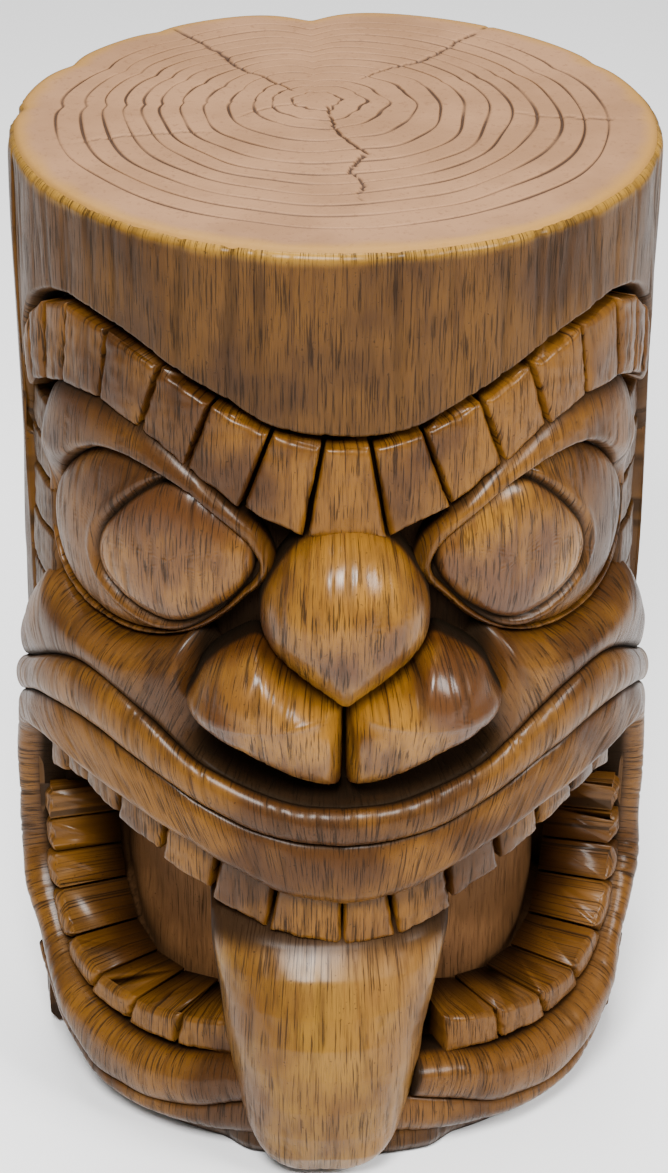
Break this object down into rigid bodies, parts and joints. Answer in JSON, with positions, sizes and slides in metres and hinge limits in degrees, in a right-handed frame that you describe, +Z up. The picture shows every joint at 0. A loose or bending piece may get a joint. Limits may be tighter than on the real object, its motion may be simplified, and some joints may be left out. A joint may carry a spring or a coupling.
{
  "type": "tiki head stool",
  "caption": "Round log-shaped stool or side table with a growling tiki face in front: block brows, bulging eyes, wide open mouth with teeth and a long hanging tongue.",
  "frame": {"origin": "on the log's axis, on the surface that the foot pads stand on", "axes": "+Z up along the log's axis; the face looks along -Y; +X is to the right of someone who faces the stool"},
  "size_m": [0.3186, 0.3449, 0.508],
  "materials": {
    "log": "moulded wood grain, golden brown with dark glaze in the grain",
    "log_end": "moulded growth rings and cracks, pinkish tan, low gloss",
    "carving": "carved-look, golden brown glaze, glossy clear coat",
    "tongue": "carved-look, golden tan glaze, glossy clear coat",
    "recess": "dark umber glaze",
    "inner_board": "raw casting, unpainted",
    "base_board": "dark brown, matte",
    "dowel_wood": "plain beech",
    "screw_steel": "zinc plated",
    "pad_rubber": "matte black"
  },
  "bodies": {
    "root": {"back_shell": "log", "base_plate": "base_board", "base_screws": "screw_steel", "brow_block_centre": "carving", "brow_block_left_1": "carving", "brow_block_left_2": "carving", "brow_block_left_3": "carving", "brow_block_left_4": "carving", "brow_block_left_5": "carving", "brow_block_left_6": "carving", "brow_block_left_7": "carving", "brow_block_left_8": "carving", "brow_block_right_1": "carving", "brow_block_right_2": "carving", "brow_block_right_3": "carving", "brow_block_right_4": "carving", "brow_block_right_5": "carving", "brow_block_right_6": "carving", "brow_block_right_7": "carving", "brow_block_right_8": "carving", "cheek_fold": "carving", "chin_left": "carving", "chin_right": "carving", "eyeball_left": "carving", "eyeball_right": "carving", "eyelid_left": "carving", "eyelid_right": "carving", "foot_pads": "pad_rubber", "front_shell": "log", "iris_left": "carving", "iris_right": "carving", "lip_fold": "carving", "lower_lip_left": "carving", "lower_lip_right": "carving", "lower_teeth_left": "carving", "lower_teeth_right": "carving", "mouth_lining": "recess", "nose_bridge": "carving", "nose_dowel": "dowel_wood", "nostril_left": "carving", "nostril_right": "carving", "seam_straps": "inner_board", "temple_blocks_left": "carving", "temple_blocks_right": "carving", "tongue": "tongue", "tongue_dowel": "dowel_wood", "top_disc": "log_end", "top_stiffener": "inner_board", "upper_lip": "carving", "upper_teeth_left": "carving", "upper_teeth_right": "carving"}
  },
  "joints": []
}
